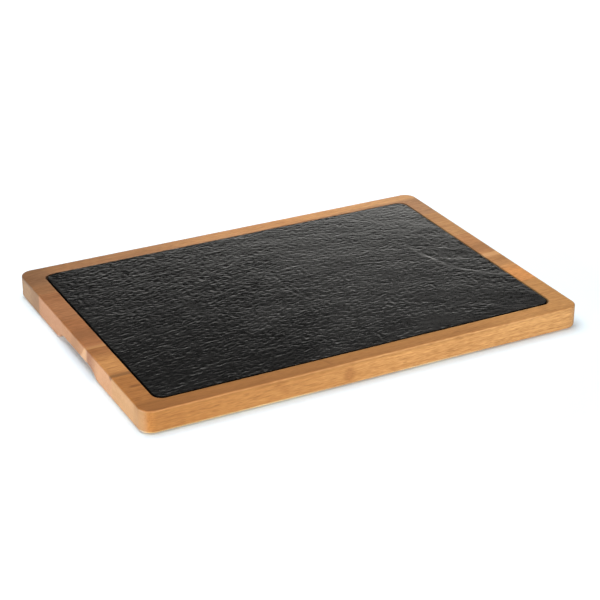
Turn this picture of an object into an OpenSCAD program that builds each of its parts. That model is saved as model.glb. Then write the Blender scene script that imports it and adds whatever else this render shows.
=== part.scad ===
// Slate serving board: an edge-glued hardwood board with a pocket milled into its top, a slate plate that
// lies loose in the pocket, and a finger grip scooped from the underside of each short end.
// The origin is the centre of the underside. +X runs along the grain, +Y to the back and +Z up.

/* [Board] */
// Length of the board, along the grain
board_length = 360; // [300:1:420]
// Width of the board, across the staves
board_width = 250; // [230:1:280]
// Thickness of the board
board_thickness = 18; // [15:0.5:24]
// Radius of the board's four upright corners
corner_radius = 10; // [5:0.5:15]
// Radius that eases the upper outer arris and the mouths of the grips
arris_radius = 1.2; // [0.6:0.1:2.5]
// Radius that eases the lower outer arris
lower_arris_radius = 2.5; // [0.6:0.1:4]

/* [Staves] */
// Width of the front stave in the glued panel, whose outer edges are then cut to the board's width
front_stave_width = 58; // [50:0.5:66]
// Width of each inner stave
inner_stave_width = 49; // [44:0.5:54]
// Width of the back stave in the glued panel
back_stave_width = 49; // [44:0.5:60]

/* [Pocket] */
// Width of the wooden rim along each long side of the pocket
side_rim_width = 14; // [12:0.5:22]
// Width of the wooden rim across each short end of the pocket
end_rim_width = 15.5; // [12:0.5:22]
// Depth of the pocket below the rim
pocket_depth = 5.5; // [4:0.1:8]
// Radius that the router leaves in the pocket's corners
pocket_corner_radius = 8; // [5:0.5:12]
// Radius that eases the pocket's upper arris
pocket_arris_radius = 0.6; // [0.3:0.1:1.2]

/* [Slate plate] */
// Thickness of the slate
slate_thickness = 6; // [4:0.1:8]
// Gap between the slate and the pocket's wall, all round
slate_clearance = 0.9; // [0.5:0.1:2]
// Radius of the slate's corners
slate_corner_radius = 9; // [5:0.5:14]
// Chamfer that takes the sharpness off the slate's upper arris
slate_chamfer = 0.5; // [0.2:0.1:1]

/* [Finger grips] */
// Width of each grip, along the end of the board
grip_width = 78; // [60:1:110]
// Height of each grip at the end face
grip_height = 6.5; // [5:0.1:8]
// Radius of the round-nosed cutter that scoops the grips
grip_cutter_radius = 20; // [14:0.5:28]

/* [Hidden] */
$fn = 96;

// How far a cutter runs past the wood that it leaves
overrun = 2;

// Staves, counted from the front. The glued panel is centred on the board, and its outer staves reach the
// board's edges
inner_stave_count = 3;
panel_width = front_stave_width + inner_stave_count * inner_stave_width + back_stave_width;
first_seam = front_stave_width - panel_width / 2;
seams = [for (i = [0 : inner_stave_count]) first_seam + i * inner_stave_width];
stave_edges = concat([-board_width / 2 - overrun], seams, [board_width / 2 + overrun]);
stave_colours = ["#b9814a", "#c58d4c", "#a96f41", "#b27845", "#9f6b45"];

// Pocket and slate
pocket_length = board_length - 2 * end_rim_width;
pocket_width = board_width - 2 * side_rim_width;
pocket_floor = board_thickness - pocket_depth;
slate_length = pocket_length - 2 * slate_clearance;
slate_width = pocket_width - 2 * slate_clearance;

// Grips: the cutter's centre line lies below the board, and its nose reaches up to the grip's height
grip_centre_z = grip_height - grip_cutter_radius;
grip_reach = sqrt(pow(grip_cutter_radius, 2) - pow(grip_centre_z, 2));
grip_run = grip_width - 2 * grip_reach;

// Carries a half profile round a rectangle with rounded corners. The profile's x is measured outwards from
// the corners' centres and its y is the height, from zero to the given height.
module swept_slab(length, width, radius, height) {
    run_x = length - 2 * radius;
    run_y = width - 2 * radius;
    for (turn = [0, 180]) {
        rotate(turn) {
            translate([run_x / 2, run_y / 2]) rotate_extrude(angle = 90) children();
            translate([-run_x / 2, run_y / 2]) rotate(90) rotate_extrude(angle = 90) children();
            translate([run_x / 2, 0]) rotate([90, 0, 0]) linear_extrude(run_y, center = true) children();
            translate([0, run_y / 2]) rotate([90, 0, 90]) linear_extrude(run_x, center = true) children();
        }
    }
    translate([-run_x / 2, -run_y / 2]) cube([run_x, run_y, height]);
}

// Edge of the board from a corner's centre outwards, with both arrises eased
module board_profile() {
    lower_x = corner_radius - lower_arris_radius;
    upper_x = corner_radius - arris_radius;
    upper_z = board_thickness - arris_radius;
    square([lower_x, upper_z]);
    translate([0, lower_arris_radius]) {
        square([corner_radius, upper_z - lower_arris_radius]);
        square([upper_x, board_thickness - lower_arris_radius]);
        translate([lower_x, 0]) circle(lower_arris_radius);
    }
    translate([upper_x, upper_z]) circle(arris_radius);
}

// Edge of the pocket's cutter from a corner's centre outwards, flared where it eases the upper arris
module pocket_profile() {
    square([pocket_corner_radius, pocket_depth + overrun]);
    translate([pocket_corner_radius, pocket_depth - pocket_arris_radius]) {
        difference() {
            square([pocket_arris_radius, pocket_arris_radius + overrun]);
            translate([pocket_arris_radius, 0]) circle(pocket_arris_radius);
        }
    }
}

// Edge of the slate from a corner's centre outwards
module slate_profile() {
    polygon([
        [0, 0],
        [slate_corner_radius, 0],
        [slate_corner_radius, slate_thickness - slate_chamfer],
        [slate_corner_radius - slate_chamfer, slate_thickness],
        [0, slate_thickness]
    ]);
}

// Half the outline of a grip's cutter: x is the distance from its centre line, y the depth from the end face
module grip_profile() {
    translate([0, arris_radius]) {
        intersection() {
            circle(grip_cutter_radius);
            square(grip_cutter_radius);
        }
    }
    translate([0, -overrun]) {
        difference() {
            square([grip_cutter_radius + arris_radius, arris_radius + overrun]);
            translate([grip_cutter_radius + arris_radius, arris_radius + overrun]) circle(arris_radius);
        }
    }
}

// Cutter of the grip at the right end: a straight run that ends in a round scoop at the front and at the back
module grip_cutter() {
    translate([board_length / 2, 0, grip_centre_z]) {
        rotate([90, -90, 0]) linear_extrude(grip_run, center = true) grip_profile();
        for (side = [0, 1]) {
            mirror([0, side, 0]) {
                translate([0, grip_run / 2, 0]) rotate([0, -90, 0]) rotate_extrude(angle = 90) grip_profile();
            }
        }
    }
}

module pocket_cutter() {
    translate([0, 0, pocket_floor]) {
        swept_slab(pocket_length, pocket_width, pocket_corner_radius, pocket_depth + overrun) pocket_profile();
    }
}

// One stave of the glued board, by its place from the front
module stave(place) {
    low = stave_edges[place];
    high = stave_edges[place + 1];
    color(stave_colours[place]) {
        difference() {
            intersection() {
                swept_slab(board_length, board_width, corner_radius, board_thickness) board_profile();
                translate([-board_length / 2 - overrun, low, -overrun]) {
                    cube([board_length + 2 * overrun, high - low, board_thickness + 2 * overrun]);
                }
            }
            pocket_cutter();
            for (end = [0, 1]) {
                mirror([end, 0, 0]) grip_cutter();
            }
        }
    }
}

module front_stave() {
    stave(0);
}

module front_middle_stave() {
    stave(1);
}

module middle_stave() {
    stave(2);
}

module back_middle_stave() {
    stave(3);
}

module back_stave() {
    stave(4);
}

// Slate laid flat on the pocket's floor. Its face stands a little proud of the rim
module slate_plate() {
    color("#2b2b2c") {
        translate([0, 0, pocket_floor]) {
            swept_slab(slate_length, slate_width, slate_corner_radius, slate_thickness) slate_profile();
        }
    }
}

front_stave();
front_middle_stave();
middle_stave();
back_middle_stave();
back_stave();
slate_plate();
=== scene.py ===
"""Looks of the slate serving board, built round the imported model: oiled wood on the five staves, a riven slate plate
in the pocket, a white studio floor, soft lights and the photograph's camera. Lengths are metres in the row frame,
and millimetres where a name or a comment says so. Colours are linear."""

import math

import bpy
import numpy as np
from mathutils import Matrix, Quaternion, Vector


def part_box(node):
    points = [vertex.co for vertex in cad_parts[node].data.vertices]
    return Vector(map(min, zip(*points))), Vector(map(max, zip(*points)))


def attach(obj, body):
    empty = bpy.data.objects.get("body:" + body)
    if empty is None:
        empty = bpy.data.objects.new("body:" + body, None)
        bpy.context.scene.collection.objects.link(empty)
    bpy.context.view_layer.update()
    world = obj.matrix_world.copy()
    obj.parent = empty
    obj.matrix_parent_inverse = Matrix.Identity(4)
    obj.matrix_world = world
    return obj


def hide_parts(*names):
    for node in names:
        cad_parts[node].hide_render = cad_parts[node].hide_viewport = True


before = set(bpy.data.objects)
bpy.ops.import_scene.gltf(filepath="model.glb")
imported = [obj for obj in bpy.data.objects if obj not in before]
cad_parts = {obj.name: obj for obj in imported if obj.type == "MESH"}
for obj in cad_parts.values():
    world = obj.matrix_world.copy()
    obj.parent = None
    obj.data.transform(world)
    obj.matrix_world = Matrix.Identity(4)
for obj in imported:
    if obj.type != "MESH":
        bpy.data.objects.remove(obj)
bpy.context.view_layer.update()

MM = 0.001
WHITE = (1.0, 1.0, 1.0)

# Camera, fitted to the board's edges in the photograph
CAMERA_AZIMUTH = math.radians(-28.09)
CAMERA_ELEVATION = math.radians(26.18)
CAMERA_ROLL = math.radians(0.47)
CAMERA_DISTANCE = 1.274
CAMERA_TARGET = Vector((-0.0054, -0.0197, 0.018))
CAMERA_LENS = 100.2
CAMERA_SENSOR = 36.0


def show(thing):
    """Puts an object into the scene."""
    bpy.context.scene.collection.objects.link(thing)


# Node helpers

def feed(tree, node, inputs):
    """Sets a node's inputs. Each is a value, or a socket to link."""
    for key, value in inputs.items():
        if isinstance(value, bpy.types.NodeSocket):
            tree.links.new(value, node.inputs[key])
        else:
            node.inputs[key].default_value = value


def add(tree, kind, inputs=None, **settings):
    """A new node with its inputs and settings."""
    made = tree.nodes.new(kind)
    for name, value in settings.items():
        setattr(made, name, value)
    feed(tree, made, inputs or {})
    return made


def calc(tree, operation, *values, clamp=False):
    """Result of a Math node."""
    return add(tree, "ShaderNodeMath", dict(enumerate(values)), operation=operation, use_clamp=clamp).outputs[0]


def times(tree, value, *factors):
    """Product of several values."""
    for factor in factors:
        value = calc(tree, "MULTIPLY", value, factor)
    return value


def less(tree, share, most):
    """1 where the share is 0, and less by the given most where it is 1."""
    return calc(tree, "MULTIPLY_ADD", share, -most, 1.0)


def vector(tree, operation, *values):
    """Result of a Vector Math node."""
    return add(tree, "ShaderNodeVectorMath", dict(enumerate(values)), operation=operation).outputs[0]


def length(tree, value):
    """Length of a vector."""
    return add(tree, "ShaderNodeVectorMath", {0: value}, operation="LENGTH").outputs["Value"]


def split(tree, value):
    """The three parts of a vector."""
    return add(tree, "ShaderNodeSeparateXYZ", {0: value}).outputs


def joined(tree, x, y, z):
    """A vector from its three parts."""
    return add(tree, "ShaderNodeCombineXYZ", {0: x, 1: y, 2: z}).outputs[0]


def step(tree, value, low, high):
    """0 at low, 1 at high and smooth between. Low may be the larger one, which turns it round."""
    ranged = add(tree, "ShaderNodeMapRange", {"Value": value, "From Min": low, "From Max": high},
                 interpolation_type="SMOOTHSTEP")
    return ranged.outputs[0]


def distance(tree, value, centre):
    """How far a value is from a centre."""
    return calc(tree, "ABSOLUTE", calc(tree, "SUBTRACT", value, centre))


def between(tree, value, start, end):
    """1 between a start and an end, each of them a pair for a smooth step."""
    return times(tree, step(tree, value, *start), step(tree, value, *end))


def band(tree, value, centre, half):
    """1 at the centre of a band, 0 outside it."""
    return step(tree, distance(tree, value, centre), half, half * 0.3)


def noise_node(tree, place, lengths, detail, rough):
    """A noise texture with its length along each axis given in the place's unit."""
    shares = vector(tree, "DIVIDE", place, lengths)
    return add(tree, "ShaderNodeTexNoise", {"Vector": shares, "Scale": 1.0, "Detail": detail, "Roughness": rough})


def noise(tree, place, lengths, detail=2.0, rough=0.5):
    """Noise from 0 to 1, about 0.5 in the middle."""
    return noise_node(tree, place, lengths, detail, rough).outputs["Fac"]


def drift(tree, place, lengths, widths, detail=2.0, rough=0.5):
    """Noise vectors about zero, spread as widely along each axis as the widths say."""
    drawn = noise_node(tree, place, lengths, detail, rough).outputs["Color"]
    return vector(tree, "MULTIPLY", vector(tree, "SUBTRACT", drawn, (0.5, 0.5, 0.5)), widths)


def mixed(tree, share, first, second):
    """Two colours mixed."""
    return add(tree, "ShaderNodeMix", {0: share, 6: first, 7: second}, data_type="RGBA").outputs[2]


def dyed(tree, colour, factors):
    """A colour with its channels multiplied."""
    return vector(tree, "MULTIPLY", colour, factors)


def bump(tree, height, strength, depth):
    """Normals of a relief that is too fine for a mesh, its depth in millimetres."""
    made = add(tree, "ShaderNodeBump", {"Strength": strength, "Distance": depth * MM, "Height": height})
    return made.outputs[0]


def surface(tree):
    """Place on the object in millimetres, and the direction that its surface faces."""
    found = add(tree, "ShaderNodeTexCoord").outputs
    return vector(tree, "DIVIDE", found["Object"], (MM, MM, MM)), found["Normal"]


def new_material(name):
    """A material with an empty tree, its output and its main shader."""
    made = bpy.data.materials.new(name)
    made.use_nodes = True
    tree = made.node_tree
    tree.nodes.clear()
    output = tree.nodes.new("ShaderNodeOutputMaterial")
    shader = tree.nodes.new("ShaderNodeBsdfPrincipled")
    tree.links.new(shader.outputs[0], output.inputs[0])
    return made, tree, shader


# Wood: growth rings round a pith that runs along X, fibres, flecks, pores and the marks of each stave

# Layers of the grain: length along each axis in millimetres, detail, roughness and share in the tone
GRAIN = {
    "rings": ((900.0, 4.2, 9.0), 3.0, 0.6, 0.7),
    "streaks": ((120.0, 2.6, 2.6), 3.0, 0.6, 0.7),
    "fibres": ((26.0, 0.55, 0.55), 2.0, 0.6, 0.7),
    "flecks": ((6.0, 0.9, 0.9), 1.0, 0.5, 0.9),
    "clouds": ((75.0, 24.0, 24.0), 2.0, 0.5, 0.6),
}
PORE_LENGTHS = (8.0, 0.7, 0.7)
PORE_RANGE = (0.66, 0.74)
DASH_LENGTHS = (7.0, 0.8, 0.8)
SWAY_LENGTHS = (170.0, 60.0, 60.0)
SWAY_WIDTHS = (0.0, 9.0, 9.0)

# Shares of the dashes in the tone and of the pores in the colour, and what the ends lose of the grain and the pores
DASH_SHARE = 0.8
PORE_SHARE = 0.4
END_GRAIN_LOSS = 0.5
END_PORE_LOSS = 0.7

# How far each seed moves a stave's noise, in millimetres
SEED_SHIFT = (731.0, 97.0, 53.0)
RING_SHIFT = 41.0

# Factors of a colour's channels
DARK_GRAIN = (0.62, 0.52, 0.45)
PALE_GRAIN = (1.34, 1.42, 1.6)
PORE = (0.4, 0.32, 0.28)
RIGHT_END = (0.95, 1.15, 1.6)
# Painted shade on the upper arrises of the ends
END_ARRIS_SHADE = (0.78, 0.76, 0.74)
LONG_SIDE = (1.03, 1.11, 1.27)
# Painted highlight on the upper arrises of the long sides, at the left and at the right end
ARRIS_HIGHLIGHT_LEFT = (1.44, 1.6, 2.2)
ARRIS_HIGHLIGHT_RIGHT = (1.15, 1.22, 1.42)
# Painted light on the lower arrises of the long sides, as bounced up from the floor
PAINTED_BOUNCE = (1.5, 2.4, 4.3)

# Board, in millimetres: its upper face, and the distance from the middle at which the end colours are reached
BOARD_TOP = 18.0
COLOUR_REACH = 172.0

# Part of the normal along an axis from which a surface counts as facing it, and fully so. Arrises turn to it less
FACING = (0.5, 0.9)
TURNED_TO_END = (0.1, 0.4)
TURNED_TO_SIDE = (0.1, 0.3)

# Arrises of the long sides: parts of the normal along Z between which each starts, and between which it ends
UPPER_ARRIS = ((0.05, 0.3), (0.95, 0.75))
LOWER_ARRIS = ((-0.05, -0.4), (-0.999, -0.97))

# Where the lower arris carries a painted light, as bounced up from the floor, in millimetres: the heights and the
# places along X between which that ends, and the centre and half length of a stretch where it is weaker
BOUNCE_HEIGHTS = (3.0, 2.0)
BOUNCE_END = (125.0, 20.0)
WEAKER_BOUNCE = (-8.0, 60.0)
BOUNCE_LOSS = 0.65

# Roughness of the wood, what the streaks take off it, and the depth of the pores beside the fibres
WOOD_ROUGHNESS = 0.62
STREAK_GLOSS = 0.12
PORE_DEPTH = 0.8


def wood(stave, seed, pith, left, right, end, marks=None):
    """Oiled wood for one stave. The pith's place is (y, z) in millimetres, left and right are the mean colours at the
    stave's ends, the right ones paler partly from the wood's own colour and partly as a painted sheen, and end holds
    the factors of the colour on its left end grain."""
    made, tree, shader = new_material("wood_" + stave)
    at, normal = surface(tree)
    own = vector(tree, "ADD", at, tuple(seed * shift for shift in SEED_SHIFT))
    place = split(tree, at)
    x, z = place[0], place[2]

    # The grain wanders as it runs along the stave
    sway = drift(tree, own, SWAY_LENGTHS, SWAY_WIDTHS)
    bent = vector(tree, "ADD", own, sway)
    across = vector(tree, "SUBTRACT", vector(tree, "ADD", at, sway), (0.0, *pith))
    radius = length(tree, vector(tree, "MULTIPLY", across, (0.0, 1.0, 1.0)))
    places = {"rings": joined(tree, x, radius, seed * RING_SHIFT), "clouds": own}
    layers = {}
    tone = 0.0
    for layer, (lengths, detail, rough, share) in GRAIN.items():
        layers[layer] = noise(tree, places.get(layer, bent), lengths, detail, rough)
        tone = calc(tree, "MULTIPLY_ADD", calc(tree, "SUBTRACT", layers[layer], 0.5), share, tone)
    pores = step(tree, noise(tree, bent, PORE_LENGTHS, 0.0), *PORE_RANGE)

    # The ends show less of the grain and fewer pores, and the long sides show short dashes
    to_end, to_side, upward = split(tree, normal)
    endward = calc(tree, "ABSOLUTE", to_end)
    sideward = calc(tree, "ABSOLUTE", to_side)
    on_end = step(tree, endward, *FACING)
    on_side = step(tree, sideward, *FACING)
    tone = times(tree, tone, less(tree, on_end, END_GRAIN_LOSS))
    pores = times(tree, pores, less(tree, on_end, END_PORE_LOSS))
    dashes = calc(tree, "SUBTRACT", noise(tree, own, DASH_LENGTHS, 1.0), 0.5)
    tone = calc(tree, "MULTIPLY_ADD", times(tree, dashes, DASH_SHARE), on_side, tone)
    tone = calc(tree, "ADD", tone, 0.5, clamp=True)

    along = add(tree, "ShaderNodeMapRange", {"Value": x, "From Min": -COLOUR_REACH, "From Max": COLOUR_REACH})
    along = along.outputs[0]
    mean = mixed(tree, along, (*left, 1.0), (*right, 1.0))
    shade = mixed(tree, tone, dyed(tree, mean, DARK_GRAIN), dyed(tree, mean, PALE_GRAIN))
    shade = mixed(tree, times(tree, pores, PORE_SHARE), shade, dyed(tree, mean, PORE))
    if marks:
        shade = marks(tree, shade, mean, place, own)

    # The ends have colours of their own, and their upper arrises get a painted shade that tones down the light they
    # catch.
    # The long sides are a little paler than the top, and their upper arrises carry a painted highlight, paler still,
    # most so at the left
    end_shade = mixed(tree, along, dyed(tree, shade, end), dyed(tree, shade, RIGHT_END))
    shade = mixed(tree, on_end, shade, end_shade)
    end_arris_shade = times(tree, step(tree, endward, *TURNED_TO_END), step(tree, upward, *TURNED_TO_END))
    shade = mixed(tree, end_arris_shade, shade, dyed(tree, shade, END_ARRIS_SHADE))
    shade = mixed(tree, on_side, shade, dyed(tree, shade, LONG_SIDE))
    long_arris = step(tree, sideward, *TURNED_TO_SIDE)
    upper = times(tree, between(tree, upward, *UPPER_ARRIS), long_arris)
    arris_highlight = mixed(tree, along, dyed(tree, shade, ARRIS_HIGHLIGHT_LEFT), dyed(tree, shade, ARRIS_HIGHLIGHT_RIGHT))
    shade = mixed(tree, upper, shade, arris_highlight)

    # Their lower arrises get a painted pale light, as bounced up from the floor, less so in the middle and not at the
    # right end
    lower = times(tree, between(tree, upward, *LOWER_ARRIS), long_arris)
    lower = times(tree, lower, step(tree, z, *BOUNCE_HEIGHTS), step(tree, x, *BOUNCE_END))
    lower = times(tree, lower, less(tree, band(tree, x, *WEAKER_BOUNCE), BOUNCE_LOSS))
    shade = mixed(tree, lower, shade, dyed(tree, shade, PAINTED_BOUNCE))

    threads = calc(tree, "MULTIPLY_ADD", layers["streaks"], 0.5, layers["fibres"])
    height = calc(tree, "MULTIPLY_ADD", pores, -PORE_DEPTH, threads)
    feed(tree, shader, {
        "Base Color": shade,
        "Roughness": calc(tree, "MULTIPLY_ADD", layers["streaks"], -STREAK_GLOSS, WOOD_ROUGHNESS),
        "Specular IOR Level": 0.25,
        "Normal": bump(tree, height, strength=0.35, depth=0.05),
    })
    return made


# Marks of the staves. Their places are millimetres, and their colours factors of the mean colour or of the shade

FRONT_EDGE = (0.62, 0.58, 0.55)
RIM_DASH = (0.4, 0.3, 0.25)
RIM_LINE = (0.5, 0.4, 0.34)
KNOT = (0.5, 0.38, 0.3)
KNOT_X, KNOT_Z = -21.0, 9.0
KNOT_SIZES = (7.0, 1.0, 9.0)
SEAM_STREAK = (0.35, 0.3, 0.28)
DARKER_LEFT, DARKER_RIGHT = (0.62, 0.53, 0.51), (0.69, 0.76, 0.9)
DARK_BAND = (0.6, 0.6, 0.6)
PALE_MIDDLE = (1.3, 1.29, 1.25)
HEARTWOOD = (0.73, 0.72, 0.82)
CORNER_END, CORNER_TOP = (1.2, 1.3, 1.35), (0.76, 0.79, 0.86)

# Sapwood beside the seam of two staves: y of its edges half way along and their drift along x, how much further back
# it reaches for each millimetre below the top, and its colours
SAP_FRONT, SAP_FRONT_DRIFT = -20.9, 0.0122
SAP_BACK, SAP_BACK_DRIFT = -15.4, 0.0165
SAP_LEAN = 0.75
SAP_LEFT, SAP_RIGHT = (0.88, 0.92, 1.1), (0.93, 1.08, 1.3)
SAP_MIDDLE_STAVE = (1.32, 1.54, 1.9)


def on_top(tree, z, start=14.5):
    """1 on the upper face and 0 on the sides, from a starting height in millimetres."""
    return step(tree, z, start, 17.0)


def front_marks(tree, shade, mean, place, own):
    """A darker band along the front edge, strongest at the left, a dark dash on the left rim, and the dark line and
    the small knot that cross the front rim and the front face."""
    x, y, z = place
    wave = calc(tree, "MULTIPLY_ADD", noise(tree, own, (60.0, 6.0, 6.0)), 8.0, y)
    on_face = times(tree, step(tree, x, 70.0, -125.0), 0.7)
    more_on_top = calc(tree, "SUBTRACT", step(tree, x, 190.0, -60.0), on_face)
    reach = calc(tree, "MULTIPLY_ADD", on_top(tree, z), more_on_top, on_face)
    edge = times(tree, step(tree, wave, -102.0, -109.0), reach, 0.55)
    shade = mixed(tree, edge, shade, dyed(tree, mean, FRONT_EDGE))
    dash = times(tree, band(tree, y, -86.3, 2.2), band(tree, x, -169.4, 6.0), 0.7)
    shade = mixed(tree, dash, shade, dyed(tree, mean, RIM_DASH))

    # The line leans across the rim and wavers
    lean = calc(tree, "MULTIPLY_ADD", y, 0.5, x)
    lean = calc(tree, "MULTIPLY_ADD", noise(tree, own, (8.0, 5.0, 5.0)), 5.0, lean)
    line = times(tree, band(tree, lean, -90.5, 2.2), step(tree, y, -124.0, -120.0), 0.35)
    shade = mixed(tree, line, shade, dyed(tree, mean, RIM_LINE))

    # The knot lies on the front face, near the end of the line
    from_knot = joined(tree, calc(tree, "SUBTRACT", x, KNOT_X), 0.0, calc(tree, "SUBTRACT", z, KNOT_Z))
    far = length(tree, vector(tree, "DIVIDE", from_knot, KNOT_SIZES))
    knot = times(tree, step(tree, far, 1.0, 0.3), step(tree, y, -122.0, -124.5))
    knot = times(tree, knot, noise(tree, own, (1.8, 4.0, 2.6), 2.0, 0.7))
    return mixed(tree, knot, shade, dyed(tree, mean, KNOT))


def sapwood(tree, place, own):
    """Share of the pale strip of sapwood. It drifts to the back at the right, and is wider to the right and below."""
    x, y, z = place
    wave = calc(tree, "MULTIPLY_ADD", noise(tree, own, (40.0, 30.0, 6.0)), -1.6, y)
    from_front = calc(tree, "SUBTRACT", wave, calc(tree, "MULTIPLY_ADD", x, SAP_FRONT_DRIFT, SAP_FRONT))
    to_back = calc(tree, "SUBTRACT", calc(tree, "MULTIPLY_ADD", x, SAP_BACK_DRIFT, SAP_BACK), wave)
    to_back = calc(tree, "MULTIPLY_ADD", calc(tree, "SUBTRACT", BOARD_TOP, z), SAP_LEAN, to_back)
    return times(tree, step(tree, from_front, -0.6, 0.8), step(tree, to_back, -0.8, 0.8))


def front_middle_marks(tree, shade, mean, place, own):
    """A dark streak along the front seam, strongest at the left end, darker wood towards the back and the sapwood."""
    x, y, z = place
    right = step(tree, x, -COLOUR_REACH, COLOUR_REACH)
    darker = mixed(tree, right, dyed(tree, shade, DARKER_LEFT), dyed(tree, shade, DARKER_RIGHT))
    shade = mixed(tree, step(tree, calc(tree, "MULTIPLY_ADD", right, 6.0, y), -44.0, -27.0), shade, darker)
    streak = times(tree, band(tree, y, -67.6, 4.2), on_top(tree, z, 14.0))
    at_end = step(tree, x, -150.0, -166.0)
    streak = times(tree, streak, calc(tree, "MULTIPLY_ADD", at_end, 0.75, 0.05))
    shade = mixed(tree, streak, shade, dyed(tree, mean, SEAM_STREAK))
    pale = mixed(tree, right, dyed(tree, mean, SAP_LEFT), dyed(tree, mean, SAP_RIGHT))
    return mixed(tree, sapwood(tree, place, own), shade, pale)


def middle_marks(tree, shade, mean, place, own):
    """A darker band along the stave, and the pale strip of sapwood at its front seam."""
    dark = step(tree, distance(tree, place[1], 1.5), 12.0, 2.0)
    shade = mixed(tree, times(tree, dark, 0.45), shade, dyed(tree, mean, DARK_BAND))
    return mixed(tree, sapwood(tree, place, own), shade, dyed(tree, mean, SAP_MIDDLE_STAVE))


def back_marks(tree, shade, mean, place, own):
    """Paler wood half way along, darker heartwood on the inner side to the right, and a left corner that is greyer on
    top and paler on the end grain. All of them dye the shade itself, so the mean isn't used."""
    x, y, z = place
    half_way = step(tree, distance(tree, x, 45.0), 140.0, 25.0)
    shade = mixed(tree, half_way, shade, dyed(tree, shade, PALE_MIDDLE))
    wave = calc(tree, "MULTIPLY_ADD", noise(tree, own, (70.0, 10.0, 10.0)), 6.0, y)
    inner = times(tree, step(tree, wave, 119.0, 115.0), step(tree, x, -140.0, 120.0))
    shade = mixed(tree, inner, shade, dyed(tree, shade, HEARTWOOD))
    corner = times(tree, step(tree, x, -150.0, -165.0), step(tree, y, 89.0, 101.0))
    corner_shade = mixed(tree, on_top(tree, z), dyed(tree, shade, CORNER_END), dyed(tree, shade, CORNER_TOP))
    return mixed(tree, corner, shade, corner_shade)


# The mean colours grow paler to the right, partly the wood's own colour and partly a painted sheen
STAVES = {
    "front_stave": {
        "seed": 1, "pith": (-90.0, -60.0), "marks": front_marks,
        "left": (0.319, 0.127, 0.027), "right": (0.425, 0.202, 0.057), "end": (1.0, 1.39, 2.75),
    },
    "front_middle_stave": {
        "seed": 2, "pith": (-20.0, -45.0), "marks": front_middle_marks,
        "left": (0.418, 0.190, 0.053), "right": (0.545, 0.230, 0.060), "end": (0.8, 0.93, 1.57),
    },
    "middle_stave": {
        "seed": 3, "pith": (30.0, -38.0), "marks": middle_marks,
        "left": (0.262, 0.101, 0.031), "right": (0.385, 0.172, 0.055), "end": (1.04, 1.32, 1.87),
    },
    "back_middle_stave": {
        "seed": 4, "pith": (20.0, -70.0),
        "left": (0.260, 0.107, 0.037), "right": (0.389, 0.189, 0.062), "end": (1.07, 1.28, 1.75),
    },
    "back_stave": {
        "seed": 5, "pith": (120.0, -50.0), "marks": back_marks,
        "left": (0.250, 0.115, 0.042), "right": (0.430, 0.213, 0.072), "end": (0.71, 0.855, 1.1),
    },
}
for name, settings in STAVES.items():
    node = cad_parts[name]
    node.data.materials.clear()
    node.data.materials.append(wood(name, **settings))


# Slate: a mesh with the relief of a split face, in place of the plain plate

NOISE_TABLE = 256
NOISE_PEAK = 0.7

# Plate, in millimetres: its corners, its chamfer, and how far the chamfer reaches at least below the relief and below
# its plain place
SLATE_CORNER = 9.0
SLATE_CHAMFER = 0.5
DROP_BELOW_RELIEF = 0.35
DROP_BELOW_CHAMFER = 0.2
SLATE_CELLS_X = 280
SLATE_CELLS_Y = 330

# Colours of the slate's grain and of its pale mottling, which is partly the slate's own clouds and partly a painted
# sheen, and where that lies, in millimetres
SLATE_DARK = (0.001, 0.00097, 0.00094, 1.0)
SLATE_LIGHT = (0.007, 0.0068, 0.0065, 1.0)
MOTTLE_AND_SHEEN = (0.024, 0.0233, 0.0222, 1.0)
MOTTLE_AND_SHEEN_CENTRE = (55.0, -25.0, 0.0)
MOTTLE_AND_SHEEN_REACH = (150.0, 150.0, 1000.0)
MOTTLE_AND_SHEEN_SHARE = 0.5

# Roughness of the slate's face, what its grain adds, that of the cut edges, and the sheen that these don't have. The
# edges are told by the part of their normal upwards
SLATE_ROUGHNESS = 0.2
GRAIN_ROUGHNESS = 0.2
CUT_ROUGHNESS = 0.9
SLATE_SHEEN = 0.5
CUT_EDGE = (0.93, 0.86)


def gradient_noise(u, v, seed):
    """Seeded gradient noise, from about -0.7 to 0.7, at places in noise lengths."""
    angles = np.random.default_rng(seed).random((NOISE_TABLE, NOISE_TABLE)) * 2 * math.pi
    u_cell = np.floor(u).astype(int)
    v_cell = np.floor(v).astype(int)
    u_in = u - u_cell
    v_in = v - v_cell
    u_ease = u_in ** 3 * (u_in * (u_in * 6 - 15) + 10)
    v_ease = v_in ** 3 * (v_in * (v_in * 6 - 15) + 10)

    def corner(du, dv):
        angle = angles[(u_cell + du) % NOISE_TABLE, (v_cell + dv) % NOISE_TABLE]
        return np.cos(angle) * (u_in - du) + np.sin(angle) * (v_in - dv)

    low = corner(0, 0) + u_ease * (corner(1, 0) - corner(0, 0))
    high = corner(0, 1) + u_ease * (corner(1, 1) - corner(0, 1))
    return low + v_ease * (high - low)


def smooth(value, low, high):
    """0 at low, 1 at high and smooth between, for arrays."""
    share = np.clip((value - low) / (high - low), 0, 1)
    return share * share * (3 - 2 * share)


def ridged(u, v, seed):
    """Crest lines: 0.3 along them, falling to about -0.7 between, and zero on average."""
    return 0.3 - np.abs(gradient_noise(u, v, seed)) / NOISE_PEAK


def spot(x, y, centre, radii):
    """1 at a centre, and fading out over the radii."""
    return np.exp(-((x - centre[0]) / radii[0]) ** 2 - ((y - centre[1]) / radii[1]) ** 2)


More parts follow.
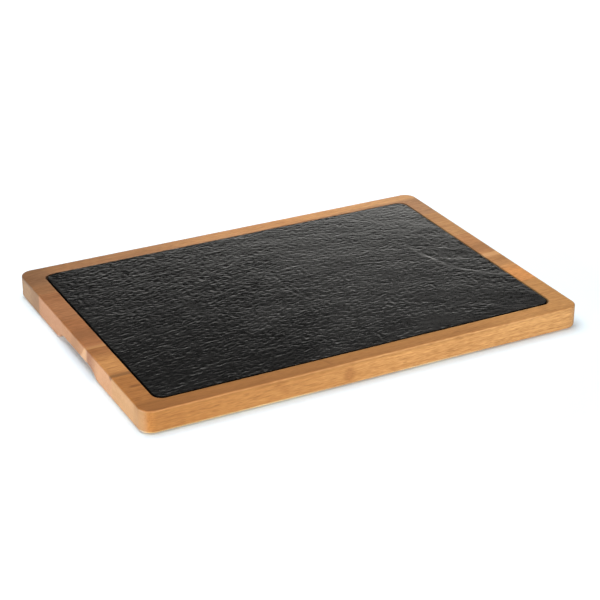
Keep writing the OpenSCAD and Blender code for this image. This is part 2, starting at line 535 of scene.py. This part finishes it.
def slate_relief(x, y):
    """Height of the split face in millimetres at places in millimetres, the highest spot at zero."""
    # A split that runs in an arc at the right and dies out at the back: beyond it the face is lower and smoother
    ahead = 35 - y
    turned = np.maximum(ahead - 46, 0)
    arc = (x - 118 - 0.2 * ahead - 0.016 * turned ** 2) / np.sqrt(1 + (0.2 + 0.032 * turned) ** 2)
    arc += 2.2 * gradient_noise(x / 10, y / 10, 18)
    beyond = smooth(arc, -1.8, 1.8)
    strength = smooth(y, 56, 0)
    depth = strength * (0.25 + 0.2 * gradient_noise(x / 8, y / 8, 19))

    # The crests follow curves that turn towards the front at the right, and fan out on the near side of the split
    v = y + 0.14 * x + 0.0009 * x ** 2
    v -= 10 * smooth(x, 70, 130) * np.exp(-((y + 25) / 34) ** 2) * (1 - beyond)
    bend = v + 2.5 * gradient_noise(x / 15, v / 10, 11) + 1.1 * gradient_noise(x / 6, v / 4, 12)
    ripple = 0.66 * ridged(x / 5.4, bend / 2.8, 13) + 0.38 * ridged(x / 3.6, bend / 1.7, 14)
    grains = 0.64 * ridged(x / 4.4, bend / 2.8, 21) + 0.32 * ridged(x / 3.0, bend / 1.8, 22)
    ripple += smooth(x + 0.5 * y, 0, 130) * (grains - ripple)
    ripple *= 1 + 0.6 * gradient_noise(x / 24, v / 15, 23)
    waves = 0.22 * gradient_noise(x / 48, v / 26, 15) + 0.10 * gradient_noise(x / 22, v / 10, 16)

    # The relief is calmer to the back right, beyond the split and beside it, and at the front right, where it is
    # worn and has a few flakes
    calm = 1 - 0.35 * smooth(x + 0.9 * y, -20, 200) - 0.1 * beyond - 0.35 * smooth(x, 60, 110) * smooth(y, -45, -85)
    calm *= 1 - 0.35 * smooth(np.abs(arc), 3.5, 1) * strength
    flaked = spot(x, y, (106, -93), (18, 10))
    flakes = flaked * (0.9 * ridged(x / 8, (y + 0.35 * x) / 3.4, 17) + 0.1)
    worn = spot(x, y, (68, -96), (22, 11))
    height = ripple * calm * (1 - 0.8 * np.maximum(flaked, worn)) + waves - depth * beyond + flakes
    return height - height.max()


def slate_mesh(low, high):
    """Plate with rounded corners between two corner points in millimetres, its upper face given the relief."""
    middle = (high[:2] + low[:2]) / 2
    half = (high[:2] - low[:2]) / 2
    straight = half - SLATE_CORNER

    # The upper face, a grid whose rows end on the outline inside the chamfer
    rows = np.linspace(-1, 1, SLATE_CELLS_Y + 1) * (half[1] - SLATE_CHAMFER)
    y, share = np.meshgrid(rows, np.linspace(-1, 1, SLATE_CELLS_X + 1), indexing="ij")
    past = np.maximum(np.abs(y) - straight[1], 0)
    x = share * (straight[0] + np.sqrt(np.maximum((SLATE_CORNER - SLATE_CHAMFER) ** 2 - past ** 2, 0)))
    z = slate_relief(x + middle[0], y + middle[1]) + high[2]
    top = np.stack([x, y, z], axis=-1).reshape(-1, 3)
    index = np.arange(len(top)).reshape(SLATE_CELLS_Y + 1, SLATE_CELLS_X + 1)
    faces = np.stack([index[:-1, :-1], index[:-1, 1:], index[1:, 1:], index[1:, :-1]], axis=-1).reshape(-1, 4)

    # The rim of the face, counter-clockwise, goes over the chamfer and down to the underside
    rim = np.concatenate([index[0, :-1], index[:-1, -1], index[-1, :0:-1], index[:0:-1, 0]])
    count = len(rim)
    edge = top[rim]
    gone = edge[:, :2] - np.sign(edge[:, :2]) * straight
    gone[np.abs(edge[:, :2]) < straight - 1e-6] = 0
    outward = gone / np.maximum(np.linalg.norm(gone, axis=1, keepdims=True), 1e-9)
    outline = edge[:, :2] + outward * SLATE_CHAMFER
    drop = np.minimum(edge[:, 2] - DROP_BELOW_RELIEF, high[2] - SLATE_CHAMFER - DROP_BELOW_CHAMFER)
    chamfered = np.column_stack([outline, drop])
    bottom = np.column_stack([outline, np.full(count, low[2])])
    points = np.concatenate([top, chamfered, bottom])
    points[:, :2] += middle
    rings = [rim, len(top) + np.arange(count), len(top) + count + np.arange(count)]
    sides = [np.stack([above, below, np.roll(below, -1), np.roll(above, -1)], axis=-1)
             for above, below in zip(rings[:-1], rings[1:])]
    polygons = np.concatenate([faces, *sides]).tolist() + [rings[-1][::-1].tolist()]
    made = bpy.data.meshes.new("riven_slate")
    made.from_pydata((points * MM).tolist(), [], polygons)
    made.update()

    # Only the upper face is shaded smooth, up to its rim
    made.polygons.foreach_set("use_smooth", np.arange(len(polygons)) < len(faces))
    ends = np.empty(2 * len(made.edges), dtype=int)
    made.edges.foreach_get("vertices", ends)
    made.edges.foreach_set("use_edge_sharp", np.isin(ends, rim).reshape(-1, 2).all(axis=1))
    return made


def slate_material():
    """Dark slate with a dull sheen, a fine grain too small for the mesh, paler mottling that is partly a painted
    sheen, and matt cut edges.
    """
    made, tree, shader = new_material("slate")
    at, normal = surface(tree)
    fine = noise(tree, at, (2.6, 0.9, 0.9), 3.0, 0.65)
    clouds = noise(tree, at, (60.0, 40.0, 40.0))
    tone = calc(tree, "MULTIPLY_ADD", fine, 0.5, times(tree, clouds, 0.5))
    shade = mixed(tree, tone, SLATE_DARK, SLATE_LIGHT)

    # Paler mottling past the middle, with a ragged edge: partly the slate's own clouds and partly a painted sheen
    ragged = drift(tree, at, (34.0, 24.0, 24.0), (2.4, 2.4, 0.0), 5.0, 0.65)
    from_pale = vector(tree, "DIVIDE", vector(tree, "SUBTRACT", at, MOTTLE_AND_SHEEN_CENTRE), MOTTLE_AND_SHEEN_REACH)
    pale = step(tree, length(tree, vector(tree, "ADD", from_pale, ragged)), 1.0, 0.1)
    shade = mixed(tree, times(tree, pale, MOTTLE_AND_SHEEN_SHARE), shade, MOTTLE_AND_SHEEN)

    cut_edge = step(tree, split(tree, normal)[2], *CUT_EDGE)
    face_roughness = calc(tree, "MULTIPLY_ADD", fine, GRAIN_ROUGHNESS, SLATE_ROUGHNESS)
    feed(tree, shader, {
        "Base Color": shade,
        "Roughness": calc(tree, "MAXIMUM", face_roughness, times(tree, cut_edge, CUT_ROUGHNESS)),
        "Specular IOR Level": calc(tree, "MULTIPLY_ADD", cut_edge, -SLATE_SHEEN, SLATE_SHEEN),
        "Normal": bump(tree, fine, strength=0.2, depth=0.06),
    })
    return made


plate_low, plate_high = (np.array(c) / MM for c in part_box("slate_plate"))
riven = bpy.data.objects.new("riven_slate", slate_mesh(plate_low, plate_high))
show(riven)
riven.data.materials.append(slate_material())
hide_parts("slate_plate")
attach(riven, "slate")


# Stage: floor, lights and surroundings

# The floor lies a hair below the board. It glows, little round the board and fully further out
FLOOR_HALF = 60
FLOOR_Z = -0.0002
FLOOR_COLOUR = (0.69, 0.79, 0.86, 1.0)
GLOW = {"From Min": 0.25, "From Max": 0.9, "To Min": 0.17, "To Max": 1.0}

floor_mesh = bpy.data.meshes.new("floor")
floor_corners = [(x * FLOOR_HALF, y * FLOOR_HALF, FLOOR_Z) for x, y in ((-1, -1), (1, -1), (1, 1), (-1, 1))]
floor_mesh.from_pydata(floor_corners, [], [(0, 1, 2, 3)])
floor = bpy.data.objects.new("floor", floor_mesh)
show(floor)
floor_look, floor_tree, floor_shader = new_material("floor")
floor_reach = length(floor_tree, add(floor_tree, "ShaderNodeTexCoord").outputs["Object"])
feed(floor_tree, floor_shader, {
    "Base Color": FLOOR_COLOUR,
    "Roughness": 0.9,
    "Specular IOR Level": 0.1,
    "Emission Color": (*WHITE, 1.0),
    "Emission Strength": add(floor_tree, "ShaderNodeMapRange", {"Value": floor_reach, **GLOW}).outputs[0],
})
floor.data.materials.append(floor_look)

# Directions on the floor as the camera sees them
AWAY = Vector((-math.sin(CAMERA_AZIMUTH), math.cos(CAMERA_AZIMUTH), 0))
RIGHT = Vector((AWAY.y, -AWAY.x, 0))

# A light may be polarised: whether it gives fill, and whether it gives sheen
FILL = (True, False)
SHEEN = (False, True)
BOTH = (True, True)

# Lights: place, target, size, power and what they give
AIM = (0, 0, 0.01)
FRONT_PLACE = (-0.2, -1.15, 0.07)
LEFT_PLACE = (-1.2, -0.25, 0.07)
STRIP = (1.0, 0.14)
CARD_PLACE = AWAY * 0.42 + RIGHT * 0.22 + Vector((0, 0, 0.065))
CARD_TINT = (1.0, 0.985, 0.94)
LIGHTS = {
    "top": ((-0.1, 0.15, 1.0), (-0.1, 0.15, 0), (1.0, 1.0), 16.0, FILL),
    "top_sheen": ((-0.4, -0.8, 1.5), AIM, (2.0, 1.6), 11.0, SHEEN),
    "front": (FRONT_PLACE, AIM, STRIP, 12.3, FILL),
    "front_sheen": (FRONT_PLACE, AIM, STRIP, 2.0, BOTH),
    "left": (LEFT_PLACE, AIM, STRIP, 18.8, FILL),
    "left_sheen": (LEFT_PLACE, AIM, STRIP, 1.2, BOTH),
    "right_sheen": ((0.65, -0.6, 1.45), AIM, (1.4, 1.4), 5.0, SHEEN),
    "back_sheen": ((-0.5, 0.5, 1.55), AIM, (1.0, 1.0), 5.0, SHEEN),
    "back_card": (CARD_PLACE, CARD_PLACE - AWAY, (0.96, 0.11), 0.8, BOTH, CARD_TINT),
}
WORLD_LIGHT = 0.04


def soft_light(name, place, target, size, power, gives, tint=WHITE):
    """A softbox that faces a target and isn't seen by the camera."""
    made = bpy.data.lights.new(name, "AREA")
    made.shape = "RECTANGLE"
    made.size, made.size_y = size
    made.energy = power
    made.color = tint
    shown = bpy.data.objects.new(name, made)
    shown.location = place
    shown.rotation_mode = "QUATERNION"
    shown.rotation_quaternion = (Vector(target) - Vector(place)).to_track_quat("-Z", "Y")
    shown.visible_camera = False
    shown.visible_diffuse, shown.visible_glossy = gives
    show(shown)


for name, settings in LIGHTS.items():
    soft_light(name, *settings)

world = bpy.data.worlds.new("studio")
world.use_nodes = True
background = world.node_tree.nodes["Background"]
background.inputs[0].default_value = (*WHITE, 1.0)
background.inputs[1].default_value = WORLD_LIGHT
bpy.context.scene.world = world
bpy.context.scene.view_settings.view_transform = "Standard"

# Camera
back = Vector((0, 0, math.sin(CAMERA_ELEVATION))) - AWAY * math.cos(CAMERA_ELEVATION)
camera = bpy.data.objects.new("camera", bpy.data.cameras.new("camera"))
camera.data.lens = CAMERA_LENS
camera.data.sensor_width = CAMERA_SENSOR
camera.location = CAMERA_TARGET + back * CAMERA_DISTANCE
camera.rotation_mode = "QUATERNION"
camera.rotation_quaternion = (-back).to_track_quat("-Z", "Y") @ Quaternion((0, 0, 1), CAMERA_ROLL)
show(camera)
bpy.context.scene.camera = camera
